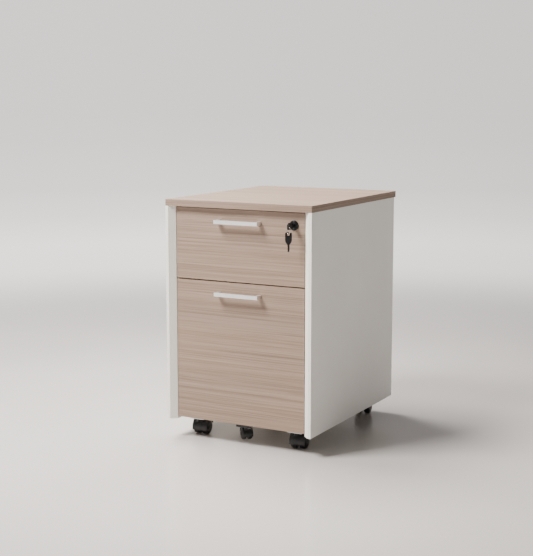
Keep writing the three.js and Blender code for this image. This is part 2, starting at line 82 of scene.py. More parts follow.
# Sockets of a Mix node, whose numbers differ between vectors and colours.
MIX_FACTOR = 0
VECTOR_A, VECTOR_B, VECTOR_RESULT = 4, 5, 1
COLOR_A, COLOR_B, COLOR_RESULT = 6, 7, 2
END_FACING = 0.7  # a face whose normal has more X than this is an end
NOISE_LOW, NOISE_HIGH = 0.3, 0.7  # nearly all of a noise texture's values lie between these


class Nodes:
    """A material's node tree, with short names for what the materials below repeat."""

    def __init__(self, name, color, roughness, metallic=0.0, **inputs):
        self.material = bpy.data.materials.new(name)
        self.material.use_nodes = True
        self.tree = self.material.node_tree
        self.shader = self.tree.nodes["Principled BSDF"]
        self.shader.inputs["Base Color"].default_value = (*color, 1)
        self.shader.inputs["Roughness"].default_value = roughness
        self.shader.inputs["Metallic"].default_value = metallic
        for key, value in inputs.items():
            self.shader.inputs[key.replace("_", " ")].default_value = value
        self.coordinates = self.add("ShaderNodeTexCoord").outputs["Object"]

    def add(self, kind, **settings):
        node = self.tree.nodes.new(kind)
        for key, value in settings.items():
            setattr(node, key, value)
        return node

    def link(self, source, target):
        self.tree.links.new(source, target)

    def turn_on_ends(self):
        """On faces that look along X, as an edge band does, the grain runs along Y."""
        parts = self.add("ShaderNodeSeparateXYZ")
        self.link(self.coordinates, parts.inputs["Vector"])
        turned = self.add("ShaderNodeCombineXYZ")
        for source, target in (("Y", "X"), ("X", "Y"), ("Z", "Z")):
            self.link(parts.outputs[source], turned.inputs[target])
        outward = self.add("ShaderNodeSeparateXYZ")
        self.link(self.add("ShaderNodeNewGeometry").outputs["Normal"], outward.inputs["Vector"])
        size = self.add("ShaderNodeMath", operation="ABSOLUTE")
        self.link(outward.outputs["X"], size.inputs[0])
        is_end = self.add("ShaderNodeMath", operation="GREATER_THAN")
        is_end.inputs[1].default_value = END_FACING
        self.link(size.outputs["Value"], is_end.inputs[0])
        choice = self.add("ShaderNodeMix", data_type="VECTOR")
        self.link(is_end.outputs["Value"], choice.inputs[MIX_FACTOR])
        self.link(self.coordinates, choice.inputs[VECTOR_A])
        self.link(turned.outputs["Vector"], choice.inputs[VECTOR_B])
        self.coordinates = choice.outputs[VECTOR_RESULT]

    def scaled(self, scale):
        """The object's coordinates, scaled along each axis."""
        mapping = self.add("ShaderNodeMapping")
        mapping.inputs["Scale"].default_value = scale
        self.link(self.coordinates, mapping.inputs["Vector"])
        return mapping.outputs["Vector"]

    def noise(self, scale, detail=4.0, roughness=0.55):
        """A noise value; scale is its fineness along each axis."""
        node = self.add("ShaderNodeTexNoise")
        node.inputs["Scale"].default_value = 1.0
        node.inputs["Detail"].default_value = detail
        node.inputs["Roughness"].default_value = roughness
        self.link(self.scaled(scale), node.inputs["Vector"])
        return node.outputs["Fac"]

    def ramp(self, value, stops):
        """A value turned into a colour; stops are (position, colour)."""
        node = self.add("ShaderNodeValToRGB")
        elements = node.color_ramp.elements
        while len(elements) < len(stops):
            elements.new(0.5)
        for element, (position, color) in zip(elements, stops):
            element.position = position
            element.color = (*color, 1)
        self.link(value, node.inputs["Fac"])
        return node.outputs["Color"]

    def mix(self, amount, first, second, blend="MIX"):
        """Two colours mixed; amount is a number or a socket."""
        node = self.add("ShaderNodeMix", data_type="RGBA", blend_type=blend)
        for number, value in ((MIX_FACTOR, amount), (COLOR_A, first), (COLOR_B, second)):
            socket = node.inputs[number]
            if isinstance(value, bpy.types.NodeSocket):
                self.link(value, socket)
            else:
                socket.default_value = value if isinstance(value, float) else (*value, 1)
        return node.outputs[COLOR_RESULT]

    def span(self, value, low, high):
        """A 0 to 1 value spread between low and high."""
        node = self.add("ShaderNodeMapRange")
        node.inputs["From Min"].default_value = NOISE_LOW
        node.inputs["From Max"].default_value = NOISE_HIGH
        node.inputs["To Min"].default_value = low
        node.inputs["To Max"].default_value = high
        self.link(value, node.inputs["Value"])
        return node.outputs["Result"]

    def color(self, socket):
        self.link(socket, self.shader.inputs["Base Color"])

    def roughness(self, value, low, high):
        self.link(self.span(value, low, high), self.shader.inputs["Roughness"])

    def bump(self, value, distance, strength=0.3):
        node = self.add("ShaderNodeBump")
        node.inputs["Distance"].default_value = distance
        node.inputs["Strength"].default_value = strength
        self.link(value, node.inputs["Height"])
        self.link(node.outputs["Normal"], self.shader.inputs["Normal"])


def oak():
    """Wood-grain laminate: broad tone bands, fine fibres and a few darker streaks, all along X."""
    m = Nodes("oak_laminate", OAK_MID, 0.55, Specular_IOR_Level=0.35)
    m.turn_on_ends()
    wander = m.noise((0.9, 5.0, 8.0), detail=3.0, roughness=0.5)
    bands = m.noise((0.6, 36.0, 95.0), detail=4.0, roughness=0.6)
    fibres = m.noise((5.0, 560.0, 640.0), detail=5.0, roughness=0.7)
    streaks = m.noise((2.2, 130.0, 380.0), detail=5.0, roughness=0.62)
    lines = m.noise((5.0, 250.0, 620.0), detail=4.0, roughness=0.62)
    pores = m.noise((30.0, 1100.0, 1200.0), detail=2.0, roughness=0.6)
    tone = m.ramp(bands, [(0.25, OAK_DARK), (0.5, OAK_MID), (0.75, OAK_LIGHT)])
    grey = m.ramp(wander, [(0.38, (0.90, 0.905, 0.915)), (0.64, (1.0, 0.985, 0.97))])
    toned = m.mix(1.0, tone, grey, "MULTIPLY")
    dark = m.ramp(streaks, [(0.48, (1.03, 1.03, 1.03)), (0.66, (0.74, 0.72, 0.705))])
    streaked = m.mix(0.85, toned, dark, "MULTIPLY")
    thin = m.ramp(lines, [(0.50, (1.03, 1.03, 1.03)), (0.66, (0.75, 0.735, 0.72))])
    lined = m.mix(0.8, streaked, thin, "MULTIPLY")
    fine = m.ramp(fibres, [(0.3, (0.86, 0.85, 0.84)), (0.56, (1.0, 1.0, 1.0)), (0.8, (1.1, 1.095, 1.09))])
    grained = m.mix(0.75, lined, fine, "MULTIPLY")
    pricked = m.ramp(pores, [(0.30, (0.82, 0.80, 0.78)), (0.38, (1.0, 1.0, 1.0))])
    m.color(m.mix(0.5, grained, pricked, "MULTIPLY"))
    m.roughness(fibres, 0.5, 0.66)
    m.bump(fibres, 0.0002, 0.35)
    return m.material


def laminate(name, color, roughness, warm):
    """Melamine board: a nearly even tone with a fine pearl texture."""
    m = Nodes(name, color, roughness)
    mottle = m.noise((7.0, 7.0, 7.0), detail=3.0)
    pearl = m.noise((1500.0, 1500.0, 1500.0), detail=2.0, roughness=0.6)
    speck = m.noise((420.0, 420.0, 420.0), detail=2.0)
    base = m.ramp(mottle, [(0.35, warm), (0.65, color)])
    dots = m.ramp(speck, [(0.3, (0.965, 0.965, 0.96)), (0.6, (1.0, 1.0, 1.0))])
    m.color(m.mix(0.5, base, dots, "MULTIPLY"))
    m.roughness(pearl, roughness - 0.05, roughness + 0.07)
    m.bump(pearl, 0.00012, 0.25)
    return m.material


def brushed(name, color, rough, along, tint):
    """Metal with a fine brushed grain; along is the scale of the grain on each axis."""
    m = Nodes(name, color, rough[0], 1.0)
    grain = m.noise(along, detail=3.0, roughness=0.65)
    cloud = m.noise((40.0, 40.0, 40.0), detail=3.0)
    tone = m.ramp(cloud, [(0.35, tint), (0.65, color)])
    strokes = m.ramp(grain, [(0.3, (0.88, 0.88, 0.88)), (0.7, (1.0, 1.0, 1.0))])
    m.color(m.mix(0.6, tone, strokes, "MULTIPLY"))
    m.roughness(grain, *rough)
    m.bump(grain, 0.00006, 0.25)
    return m.material


def zinc():
    """Zinc-plated sheet: pale spangled patches with a faint blue-yellow shift."""
    m = Nodes("zinc_steel", (0.55, 0.57, 0.6), 0.36, 1.0)
    cells = m.add("ShaderNodeTexVoronoi")
    cells.inputs["Scale"].default_value = 160.0
    m.link(m.coordinates, cells.inputs["Vector"])
    grey = m.ramp(cells.outputs["Color"], [(0.2, (0.50, 0.52, 0.55)), (0.8, (0.62, 0.63, 0.63))])
    streak = m.noise((60.0, 8.0, 300.0), detail=4.0)
    shift = m.ramp(streak, [(0.35, (0.62, 0.60, 0.52)), (0.65, (0.60, 0.63, 0.68))])
    m.color(m.mix(0.35, grey, shift))
    m.roughness(streak, 0.28, 0.44)
    m.bump(streak, 0.00004, 0.2)
    return m.material


def plastic(name, color, rough, scuffed):
    """A fine-textured black surface with paler rubbed places: moulded plastic, and the fifth caster's
    steel bracket, whose near-black colour is painted shade.
    """
    m = Nodes(name, color, rough[0])
    grain = m.noise((1300.0, 1300.0, 1300.0), detail=2.0, roughness=0.6)
    rub = m.noise((90.0, 90.0, 90.0), detail=5.0, roughness=0.7)
    m.color(m.ramp(rub, [(0.45, color), (0.75, scuffed)]))
    m.roughness(rub, *rough)
    m.bump(grain, 0.00008, 0.3)
    return m.material


def enamel(name, color, rough, worn):
    """Black-plated metal, worn a little paler here and there."""
    m = Nodes(name, color, rough[0], 0.35)
    wear = m.noise((260.0, 260.0, 260.0), detail=6.0, roughness=0.7)
    m.color(m.ramp(wear, [(0.55, color), (0.8, worn)]))
    m.roughness(wear, *rough)
    m.bump(wear, 0.00003, 0.2)
    return m.material


OAK_LIGHT = (0.356, 0.262, 0.202)
OAK_MID = (0.302, 0.217, 0.163)
OAK_DARK = (0.240, 0.168, 0.124)

OAK = oak()
WHITE = laminate("white_laminate", (0.87, 0.85, 0.79), 0.42, (0.845, 0.82, 0.755))
BOX_BOARD = laminate("drawer_board", (0.66, 0.66, 0.64), 0.48, (0.63, 0.625, 0.60))
BAR_GRAIN = (30.0, 1400.0, 1400.0)
WIRE_GRAIN = (500.0, 500.0, 900.0)
SATIN = brushed("satin_aluminium", (0.93, 0.935, 0.94), (0.4, 0.5), BAR_GRAIN, (0.90, 0.905, 0.915))
NICKEL = brushed("ring_steel", (0.72, 0.70, 0.66), (0.16, 0.3), WIRE_GRAIN, (0.66, 0.64, 0.6))
ZINC = zinc()
NYLON = plastic("black_nylon", (0.006, 0.006, 0.0065), (0.3, 0.46), (0.014, 0.014, 0.015))
TREAD = plastic("wheel_nylon", (0.005, 0.005, 0.0055), (0.26, 0.44), (0.016, 0.016, 0.017))
# Painted shade: the fifth caster's bracket is near black so that it vanishes into the shade under the
# lower drawer front.
SHADE_BLACK_STEEL = plastic("black_steel", (0.014, 0.014, 0.015), (0.4, 0.56), (0.022, 0.022, 0.023))
LOCK_BLACK = enamel("lock_black", (0.008, 0.008, 0.009), (0.22, 0.36), (0.035, 0.033, 0.03))
KEY_BLACK = enamel("key_black", (0.009, 0.009, 0.010), (0.3, 0.46), (0.03, 0.03, 0.03))


# ------------------------------------------------------------------ mesh helpers


def finish_mesh(mesh, angle=35.0):
    """Smooth shading with sharp edges kept."""
    for polygon in mesh.polygons:
        polygon.use_smooth = True
    mesh.set_sharp_from_angle(angle=math.radians(angle))


def piece(name, mesh, material, body, *replaced, matrix=None, angle=35.0):
    """A named object for a mesh, placed by its matrix, riding on a CAD body."""
    mesh.name = name
    mesh.materials.clear()
    mesh.materials.append(material)
    if matrix is not None:
        mesh.transform(matrix)
    finish_mesh(mesh, angle)
    obj = bpy.data.objects.new(name, mesh)
    bpy.context.scene.collection.objects.link(obj)
    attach(obj, body)
    if replaced:
        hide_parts(*replaced)


def mesh_of(bm):
    """A mesh from a bmesh, with its points merged and its faces turned outwards."""
    bmesh.ops.remove_doubles(bm, verts=bm.verts, dist=MERGE)
    bmesh.ops.recalc_face_normals(bm, faces=bm.faces)
    mesh = bpy.data.meshes.new("part")
    bm.to_mesh(mesh)
    bm.free()
    return mesh


def joined(*meshes):
    """Several meshes as one."""
    bm = bmesh.new()
    for mesh in meshes:
        bm.from_mesh(mesh)
    mesh = bpy.data.meshes.new("part")
    bm.to_mesh(mesh)
    bm.free()
    return mesh


def moved(mesh, matrix):
    """A moved copy of a mesh."""
    copy = mesh.copy()
    copy.transform(matrix)
    return copy


def lathe(profile, segments=64, start=0.0, turn=2 * math.pi):
    """Revolves (along, radius) points about the X axis; a part turn gets end caps."""
    bm = bmesh.new()
    whole = turn >= 2 * math.pi
    rows = []
    for i in range(segments if whole else segments + 1):
        a = start + turn * i / segments
        rows.append([bm.verts.new((x, r * math.cos(a), r * math.sin(a))) for x, r in profile])
    count = len(profile)
    for i in range(segments):
        a, b = rows[i], rows[(i + 1) % len(rows)]
        for j in range(count):
            k = (j + 1) % count
            on_axis = profile[j][1] < MERGE and profile[k][1] < MERGE
            if not on_axis:
                bm.faces.new([a[j], a[k], b[k], b[j]])
    if not whole:
        bm.faces.new(rows[0])
        bm.faces.new(rows[-1])
    bmesh.ops.remove_doubles(bm, verts=bm.verts, dist=MERGE)
    bmesh.ops.dissolve_degenerate(bm, edges=bm.edges, dist=MERGE)
    return mesh_of(bm)


def circle(radius, count, x=0.0, y=0.0):
    """Points round a circle."""
    angles = [2 * math.pi / count * i for i in range(count)]
    return [(x + radius * math.cos(a), y + radius * math.sin(a)) for a in angles]


def rounded(x0, x1, y0, y1, radius, steps=5):
    """Points round a rectangle with rounded corners."""
    points = []
    corners = ((x1, y1, 0), (x0, y1, 1), (x0, y0, 2), (x1, y0, 3))
    for x, y, quarter in corners:
        cx = x - math.copysign(radius, x - (x0 + x1) / 2)
        cy = y - math.copysign(radius, y - (y0 + y1) / 2)
        for i in range(steps + 1):
            a = (quarter + i / steps) * math.pi / 2
            points.append((cx + radius * math.cos(a), cy + radius * math.sin(a)))
    return points


def plate(outlines, thickness, bevel=0.0003, steps=2):
    """A flat plate in XY, centred on z = 0, with holes where outlines lie inside others."""
    curve = bpy.data.curves.new("plate", "CURVE")
    curve.dimensions = "2D"
    curve.fill_mode = "BOTH"
    curve.extrude = thickness / 2 - bevel
    curve.bevel_depth = bevel
    curve.bevel_resolution = steps
    curve.offset = -bevel
    for points in outlines:
        spline = curve.splines.new("POLY")
        spline.points.add(len(points) - 1)
        for point, (x, y) in zip(spline.points, points):
            point.co = (x, y, 0, 1)
        spline.use_cyclic_u = True
    holder = bpy.data.objects.new("plate", curve)
    bpy.context.scene.collection.objects.link(holder)
    graph = bpy.context.evaluated_depsgraph_get()
    mesh = bpy.data.meshes.new_from_object(holder.evaluated_get(graph))
    bpy.data.objects.remove(holder)
    bpy.data.curves.remove(curve)
    bm = bmesh.new()
    bm.from_mesh(mesh)
    return mesh_of(bm)


def basis(x, y, z, origin=(0, 0, 0)):
    """The matrix that takes the X, Y and Z axes to these directions, and the origin to a point."""
    m = Matrix((x, y, z)).transposed().to_4x4()
    m.translation = Vector(origin)
    return m


def facing(direction, origin):
    """Takes the X axis to a direction, for lathed pieces that stand on a face."""
    m = Vector(direction).to_track_quat("X", "Z").to_matrix().to_4x4()
    m.translation = Vector(origin)
    return m


def screw(radius, height):
    """A pan-head screw with a cross recess, its seat at x = 0 and its head towards +X."""
    crown = [
        (0, 0),
        (0, radius),
        (height * 0.35, radius),
        (height * 0.8, radius * 0.8),
        (height, radius * 0.45),
        (height, 0),
    ]
    arm = radius * 0.5
    half = arm * 0.24
    slots = []
    for a in (math.pi / 4, 3 * math.pi / 4):
        slot = plate([rounded(-arm, arm, -half, half, arm * 0.1, 2)], 0.0003, 0.00005, 1)
        lengthwise = (0, math.cos(a), math.sin(a))
        sideways = (0, -math.sin(a), math.cos(a))
        slots.append(moved(slot, basis(lengthwise, sideways, (1, 0, 0), (height, 0, 0))))
    return joined(lathe(crown, 24), *slots)


# ------------------------------------------------------------------ CAD nodes that stay


def soften(names, material, width, segments=3, angle=30.0):
    """Gives CAD nodes a material and a soft arris."""
    for name in names:
        obj = NODES[name]
        obj.data.materials.clear()
        obj.data.materials.append(material)
        bevel = obj.modifiers.new("arris", "BEVEL")
        bevel.width = width
        bevel.segments = segments
        bevel.limit_method = "ANGLE"
        bevel.angle_limit = math.radians(angle)
        bevel.harden_normals = True
        for polygon in obj.data.polygons:
            polygon.use_smooth = True
        obj.data.set_sharp_from_angle(angle=math.radians(angle))


soften(["top_panel", "upper_drawer_front", "lower_drawer_front"], OAK, 0.0007)
soften(["left_side_panel", "right_side_panel", "bottom_panel", "back_panel"], WHITE, 0.0009)
soften([f"{level}_drawer_{board}" for level in LEVELS for board in BOARDS], BOX_BOARD, 0.0005)
soften([f"{level}_handle" for level in LEVELS], SATIN, 0.0006, 4)
runners = [f"{level}_{hand}_{member}_runner" for level in LEVELS for hand in HANDS for member in MEMBERS]
soften(runners, ZINC, 0.0003, 2)
soften(["front_file_rail", "rear_file_rail", "lock_bar"], ZINC, 0.0004, 2)
# The bracket's near-black colour is painted shade under the lower drawer front.
soften(["fifth_caster_bracket"], SHADE_BLACK_STEEL, 0.0004, 2)
soften(["lock_eccentric"], ZINC, 0.0003, 2)
soften(["lock_bar_guide"], NYLON, 0.0004, 2)

# ------------------------------------------------------------------ lock and keys

lock_at = Vector(JOINTS["lock_turn"]["pos_m"])
barrel_low, barrel_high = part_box("lock_barrel")
front_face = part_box("upper_drawer_front")[0].y

flange = (barrel_high.x - barrel_low.x) / 2
face_y = barrel_low.y
depth = barrel_high.y - face_y
proud = front_face - face_y
bore = 0.0066
sleeve = 0.0093
barrel_profile = [
    (0.0006, bore),
    (0.0, bore + 0.0005),
    (0.0, flange - 0.0042),
    (0.0005, flange - 0.0038),
    (0.0005, flange - 0.0030),
    (0.0, flange - 0.0026),
    (0.0002, flange - 0.0010),
    (0.0009, flange - 0.0002),
    (0.0016, flange),
    (proud - 0.0003, flange),
    (proud - 0.0002, sleeve),
    (depth, sleeve),
    (depth, bore),
]
inwards = facing((0, 1, 0), (lock_at.x, face_y, lock_at.z))
barrel_mesh = lathe(barrel_profile, 72)
piece("lock_barrel_detailed", barrel_mesh, LOCK_BLACK, "upper_drawer", "lock_barrel", matrix=inwards)

plug_low, plug_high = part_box("lock_plug")
plug_radius = (plug_high.x - plug_low.x) / 2
plug_length = plug_high.y - plug_low.y
keyway = rounded(-0.0013, 0.0013, -0.0029, 0.0029, 0.0006, 3)
plug_mesh = plate([circle(plug_radius, 56), keyway], plug_length, 0.0003)
plug_middle = (plug_low.y + plug_high.y) / 2
to_front = basis((1, 0, 0), (0, 0, 1), (0, -1, 0), (lock_at.x, plug_middle, lock_at.z))
piece("lock_plug_detailed", plug_mesh, LOCK_BLACK, "lock_cylinder", "lock_plug", matrix=to_front)

KEY_BOW = 0.029
KEY_WIDTH = 0.016
KEY_NECK = 0.002
KEY_BLADE = 0.015
BLADE_WIDTH = 0.0052
HOLE = 0.003
HOLE_INSET = 0.005
CUTS = 4
BOW_STEPS = 8


def bow_outline(inset=0.0, start=0.0):
    """Outline of a key's bow in (along, across), shoulder at 0, end at -neck-bow."""
    half = KEY_WIDTH / 2 - inset
    end = -KEY_NECK - KEY_BOW + inset
    corner = half * 0.55
    knee = -KEY_NECK - KEY_BOW * 0.42
    points = []
    for sign in (-1, 1):
        side = [(start - inset, BLADE_WIDTH / 2 - inset), (-KEY_NECK - inset, BLADE_WIDTH / 2 - inset)]
        for i in range(1, BOW_STEPS + 1):
            t = i / BOW_STEPS
            u = (1 - t) ** 2 * -KEY_NECK + 2 * t * (1 - t) * (-KEY_NECK - KEY_BOW * 0.18) + t * t * knee
            v = (1 - t) ** 2 * (BLADE_WIDTH / 2 - inset) + (1 - (1 - t) ** 2) * half
            side.append((u, v))
        for i in range(BOW_STEPS + 1):
            t = i / BOW_STEPS
            u = (1 - t) ** 2 * (end + corner) + 2 * t * (1 - t) * end + t * t * end
            v = (1 - t) ** 2 * half + 2 * t * (1 - t) * half + t * t * (half - corner)
            side.append((u, v))
        points += [(u, sign * v) for u, v in (side if sign < 0 else reversed(side))]
    return points


def key_mesh():
    """A key in the XY plane: blade towards +X, a moulded bow with a raised rim towards -X."""
    eye = (-KEY_NECK - KEY_BOW + HOLE_INSET, 0.0)
    head = plate([bow_outline(), circle(HOLE, 28, *eye)], 0.003, 0.0007, 3)
    rim = plate([bow_outline(0.0012, -0.006), bow_outline(0.0024, -0.0065)], 0.0034, 0.0002, 2)
    collar = plate([circle(HOLE + 0.0011, 28, *eye), circle(HOLE, 28, *eye)], 0.0033, 0.00018, 2)
    w = BLADE_WIDTH / 2
    profile = [(-0.001, w), (KEY_BLADE - 0.002, w), (KEY_BLADE, 0.0), (KEY_BLADE - 0.0015, -w)]
    pitch = (KEY_BLADE - 0.005) / CUTS
    for i in reversed(range(CUTS)):
        at = 0.0025 + i * pitch
        profile += [(at + pitch / 2, -w + 0.0011), (at, -w)]
    profile.append((-0.001, -w))
    blade = plate([profile], 0.0019, 0.00018, 1)
    flute = plate([rounded(0.0, KEY_BLADE - 0.003, 0.0004, 0.0012, 0.0003, 2)], 0.00215, 0.0001, 1)
    return joined(head, rim, collar, blade, flute)


shoulder_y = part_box("key")[1].y - KEY_BLADE
in_lock = basis((0, 1, 0), (0, 0, 1), (1, 0, 0), (lock_at.x, shoulder_y, lock_at.z))
piece("key_detailed", key_mesh(), KEY_BLACK, "key", "key", matrix=in_lock)

spare_joint = JOINTS["spare_key_swing"]
spare_eye = Vector(spare_joint["pos_m"])
normal = Vector(spare_joint["axis"])
down = Vector((0, 0, -1))
hung = basis(down, normal.cross(down), normal, spare_eye)
to_eye = Matrix.Translation((KEY_NECK + KEY_BOW - HOLE_INSET, 0, 0))
piece("spare_key_detailed", key_mesh(), KEY_BLACK, "spare_key", "spare_key", matrix=hung @ to_eye)


CROSSING = 0.9  # in turns of the wire
CROSSING_LENGTH = 0.12


def split_ring(radius, wire, turns=1.92, steps=110):
    """A split ring: nearly two turns of wire side by side, with a short step where they cross."""
    curve = bpy.data.curves.new("ring", "CURVE")
    curve.dimensions = "3D"
    curve.bevel_depth = wire
    curve.bevel_resolution = 3
    curve.use_fill_caps = True
    spline = curve.splines.new("POLY")
    spline.points.add(steps)
    for i, point in enumerate(spline.points):
        t = i / steps * turns
        a = 2 * math.pi * t + 0.4
        crossed = min(max((t - CROSSING) / CROSSING_LENGTH, 0), 1)
        rise = (crossed - 0.5) * 2 * wire * 1.02
        point.co = (radius * math.cos(a), rise, radius * math.sin(a), 1)
    holder = bpy.data.objects.new("ring", curve)
    bpy.context.scene.collection.objects.link(holder)
    graph = bpy.context.evaluated_depsgraph_get()
    mesh = bpy.data.meshes.new_from_object(holder.evaluated_get(graph))
    bpy.data.objects.remove(holder)
    bpy.data.curves.remove(curve)
    return mesh


RING_YAW = math.radians(-30)
RING_WIRE = 0.0004
ring_low, ring_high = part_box("key_ring")
ring_at = Matrix.Translation((ring_low + ring_high) / 2) @ Euler((0, 0, RING_YAW)).to_matrix().to_4x4()
ring_radius = (ring_high.z - ring_low.z) / 2
ring_mesh = split_ring(ring_radius - RING_WIRE, RING_WIRE)
piece("key_ring_detailed", ring_mesh, NICKEL, "key_ring", "key_ring", matrix=ring_at)

# ------------------------------------------------------------------ casters


def hood_profile(half, inner, outer):
    """Cross-section of a hood from side to side: crowned outside, stepped lip, hollow inside."""
    return [
        (-half, inner),
        (-half, inner + 0.0009),
        (-half + 0.0004, inner + 0.0012),
        (-half + 0.0012, outer - 0.0003),
        (-half * 0.55, outer),
        (half * 0.55, outer),
        (half - 0.0012, outer - 0.0003),
        (half - 0.0004, inner + 0.0012),
        (half, inner + 0.0009),
        (half, inner),
    ]


def wheel_profile(radius, width, bore_radius):
    """Cross-section of one wheel from its inner face at 0 outwards: tread, groove, dome and cap."""
    return [
        (0.0, bore_radius),
        (0.0, radius * 0.62),
        (0.0006, radius * 0.64),
        (0.0006, radius * 0.86),
        (0.0, radius * 0.88),
        (0.0, radius - 0.0009),
        (0.0003, radius - 0.0003),
        (0.0010, radius),
        (width * 0.56, radius),
        (width * 0.62, radius - 0.0002),
        (width * 0.70, radius - 0.0008),
        (width * 0.80, radius * 0.94),
        (width * 0.815, radius * 0.925),
        (width * 0.805, radius * 0.905),
        (width * 0.86, radius * 0.86),
        (width * 0.93, radius * 0.72),
        (width * 0.965, radius * 0.55),
        (width * 0.97, radius * 0.36),
        (width * 0.94, radius * 0.33),
        (width * 0.94, radius * 0.29),
        (width * 0.985, radius * 0.26),
        (width, radius * 0.14),
        (width, 0.0),
        (width - 0.001, 0.0),
        (width - 0.001, bore_radius),
    ]


# Sizes that the frame doesn't give: the corner casters', then the smaller fifth one's.
CORNER_CASTER = {"web": 0.007, "width": 0.042, "play": 0.0012, "wall": 0.0018, "neck": 0.008}
FIFTH_CASTER = {"web": 0.005, "width": 0.028, "play": 0.001, "wall": 0.0016, "neck": 0.007}
HOOD_START = math.radians(12)
HOOD_SWEEP = math.radians(184)
HOOD_INSET = 0.001  # the hood is this much narrower than the caster on each side
WEB_STEPS = 28
WEB_INSET = 0.0006  # from the hood's outside to the web's edge
WEB_DROP = 0.0058  # below the axle
BOSS_RADIUS = 0.0068
PIN_RADIUS = 0.003
WHEEL_BORE = 0.0033
WHEEL_GAP = 0.0008  # between the web and a wheel
RIB_ANGLES = (60, 95, 130, 165)
PLATE_SCREW_INSET = 0.006
PLATE_HOLE = 0.0024
SINK = 0.0001  # how far a detail sits into the face that carries it


def spindle(end, radius, along, inward, segments):
    """A round pin along X from -end to end, with chamfered ends."""
    shoulder = end - along
    tip = radius - inward
    profile = [(-end, 0), (-end, tip), (-shoulder, radius), (shoulder, radius), (end, tip), (end, 0)]
    return lathe(profile, segments)


def web_mesh(outer, thickness):
    """The flat web between the wheels: an arc under the hood, closed just below the axle."""
    outline = []
    for i in range(WEB_STEPS + 1):
        a = HOOD_START + HOOD_SWEEP * i / WEB_STEPS
        edge = (outer - WEB_INSET) * Vector((math.cos(a), math.sin(a)))
        outline.append((edge.x, edge.y))
    outline.append((0.0, -WEB_DROP))
    return moved(plate([outline], thickness, 0.0005), basis((0, 1, 0), (0, 0, 1), (1, 0, 0)))


def neck_mesh(radius, base, top, trail):
    """The round neck that turns under the plate, with a collar at its top."""
    profile = [
        (base, 0),
        (base, radius + 0.0026),
        (base + (top - base) * 0.45, radius + 0.0008),
        (top - 0.0022, radius + 0.0004),
        (top - 0.0016, radius + 0.0022),
        (top - 0.0004, radius + 0.0022),
        (top, radius + 0.0018),
        (top, 0),
    ]
    upright = basis((0, 0, 1), (0, 1, 0), (-1, 0, 0), (0, -trail, 0))
    return moved(lathe(profile, 40), upright)


def rib_meshes(half, outer):
    """Thin ribs across the back of the hood."""
    ribs = []
    for angle in RIB_ANGLES:
        a = math.radians(angle)
        rib = plate([rounded(-half * 0.5, half * 0.5, -0.0004, 0.0004, 0.0002, 2)], 0.0007, 0.0001, 1)
        out = (0, math.cos(a), math.sin(a))
        on_hood = basis((1, 0, 0), (0, -math.sin(a), math.cos(a)), out, Vector(out) * outer)
        ribs.append(moved(rib, on_hood))
    return ribs


def caster_housing(sizes, radius, trail, top):
    """Hood, web, boss, axle pin, neck and ribs as one mesh, with the axle along X through the origin."""
    well = radius + sizes["play"]
    outer = well + sizes["wall"]
    half = sizes["width"] / 2 - HOOD_INSET
    web = sizes["web"]
    shell = lathe(hood_profile(half, well - SINK, outer), 44, HOOD_START, HOOD_SWEEP)
    centre_web = web_mesh(outer, web)
    boss = spindle(web / 2 + 0.0006, BOSS_RADIUS, 0.0006, 0.0006, 36)
    pin = spindle(half - 0.0015, PIN_RADIUS, 0.0005, 0.0004, 28)
    neck = neck_mesh(sizes["neck"], well * 0.74, top, trail)
    return joined(shell, centre_web, boss, pin, neck, *rib_meshes(half, outer))


def caster_mounting(low, high, neck):
    """The plate with its four screws and the race that the neck turns under, centred on the origin."""
    reach = (high.x - low.x) / 2
    thickness = high.z - low.z
    hole_at = reach - PLATE_SCREW_INSET
    places = [(sx * hole_at, sy * hole_at) for sx in (-1, 1) for sy in (-1, 1)]
    holes = [circle(PLATE_HOLE, 20, x, y) for x, y in places]
    sheet = plate([rounded(-reach, reach, -reach, reach, 0.004), *holes], thickness, 0.0004)
    race_radius = neck + 0.004
    race = lathe([(0, 0), (0, race_radius), (0.0002, race_radius), (0.00025, 0)], 36)
    underside = -thickness / 2 + SINK
    below = facing((0, 0, -1), (0, 0, underside))
    heads = [moved(screw(0.0036, 0.0016), facing((0, 0, -1), (x, y, underside))) for x, y in places]
    return joined(sheet, moved(race, below), *heads)


